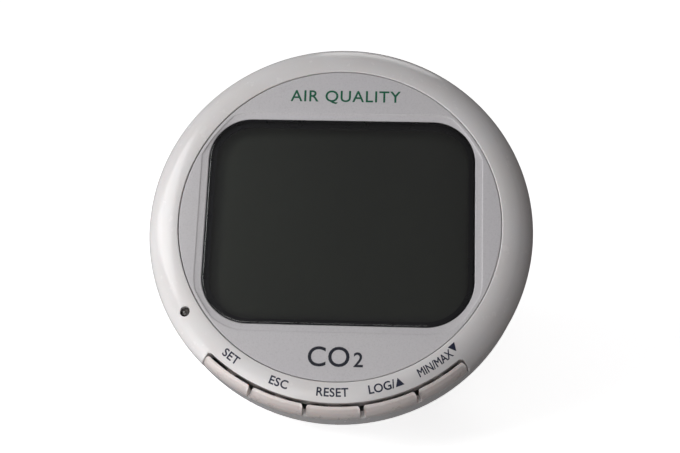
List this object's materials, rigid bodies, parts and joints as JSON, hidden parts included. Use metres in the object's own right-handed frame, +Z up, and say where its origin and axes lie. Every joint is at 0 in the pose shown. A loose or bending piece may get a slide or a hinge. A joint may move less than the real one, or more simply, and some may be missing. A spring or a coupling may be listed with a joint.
{
  "type": "carbon dioxide monitor",
  "caption": "Desktop carbon dioxide monitor: tilted round head with a large rounded display, a row of keys along the lower rim, and a column stand with sockets behind.",
  "frame": {"origin": "centre of the overall footprint on the table, under the feet", "axes": "+Z up, -Y towards the reader (the display side), +X to the reader's right"},
  "size_m": [0.1174, 0.102, 0.1031],
  "materials": {
    "shell_white": "gloss",
    "face_satin": "satin",
    "key_white": "gloss",
    "clear_pane": "gloss",
    "foam_black": "matte",
    "display_glass": "satin",
    "reflector_film": "satin",
    "inner_plastic": "matte",
    "contact_rubber": "matte",
    "lamp_lens": "gloss",
    "switch_black": "matte",
    "board_green": "satin",
    "board_blue": "satin",
    "chip_black": "matte",
    "screw_steel": "satin",
    "gold_tube": "satin",
    "can_steel": "satin",
    "membrane_white": "matte",
    "port_black": "satin",
    "socket_nickel": "satin",
    "cable_grey": "satin",
    "lead_red": "satin",
    "cell_jacket": "gloss",
    "contact_steel": "satin",
    "foot_rubber": "matte",
    "label_film": "satin"
  },
  "bodies": {
    "housing": {"front_bezel": "shell_white", "face_panel": "face_satin", "display_window": "clear_pane", "window_gasket": "foam_black", "display_glass": "display_glass", "display_reflector": "reflector_film", "display_frame": "inner_plastic", "contact_strips": "contact_rubber", "status_lamp": "lamp_lens", "key_switches": "switch_black", "main_board": "board_green", "board_parts": "chip_black", "board_screws": "screw_steel", "buzzer": "chip_black", "gas_board": "board_blue", "gas_chamber": "gold_tube", "gas_lamp": "can_steel", "gas_detector": "can_steel", "gas_membrane": "membrane_white", "gas_header": "contact_steel", "humidity_board": "board_green", "humidity_sensor": "membrane_white", "rear_shell": "shell_white", "case_screws": "screw_steel", "stand": "shell_white", "stand_screws": "screw_steel", "port_board": "board_green", "power_jack": "port_black", "data_socket": "socket_nickel", "port_screws": "screw_steel", "ribbon_cable": "cable_grey", "base_plate": "shell_white", "base_screws": "screw_steel", "rubber_feet": "foot_rubber", "battery_cells": "cell_jacket", "battery_contacts": "contact_steel", "battery_springs": "contact_steel", "battery_leads": "lead_red", "rating_label": "label_film"},
    "set_key": {"set_button": "key_white", "set_plunger": "switch_black"},
    "esc_key": {"esc_button": "key_white", "esc_plunger": "switch_black"},
    "reset_key": {"reset_button": "key_white", "reset_plunger": "switch_black"},
    "log_up_key": {"log_up_button": "key_white", "log_up_plunger": "switch_black"},
    "min_max_down_key": {"min_max_down_button": "key_white", "min_max_down_plunger": "switch_black"},
    "battery_door": {"battery_door": "shell_white"}
  },
  "joints": [
    {"name": "set_press", "type": "slide", "parent": "housing", "child": "set_key", "axis": [0.5592, 0.5329, 0.6351], "range_m": [0, 0.0006], "stiffness_N_per_m": 2500},
    {"name": "esc_press", "type": "slide", "parent": "housing", "child": "esc_key", "axis": [0.2924, 0.6147, 0.7326], "range_m": [0, 0.0006], "stiffness_N_per_m": 2500},
    {"name": "reset_press", "type": "slide", "parent": "housing", "child": "reset_key", "axis": [0, 0.6428, 0.766], "range_m": [0, 0.0006], "stiffness_N_per_m": 2500},
    {"name": "log_up_press", "type": "slide", "parent": "housing", "child": "log_up_key", "axis": [-0.2924, 0.6147, 0.7326], "range_m": [0, 0.0006], "stiffness_N_per_m": 2500},
    {"name": "min_max_down_press", "type": "slide", "parent": "housing", "child": "min_max_down_key", "axis": [-0.5592, 0.5329, 0.6351], "range_m": [0, 0.0006], "stiffness_N_per_m": 2500},
    {"name": "battery_door_slide", "type": "slide", "parent": "housing", "child": "battery_door", "axis": [0, 1, 0], "range_m": [0, 0.04]}
  ]
}
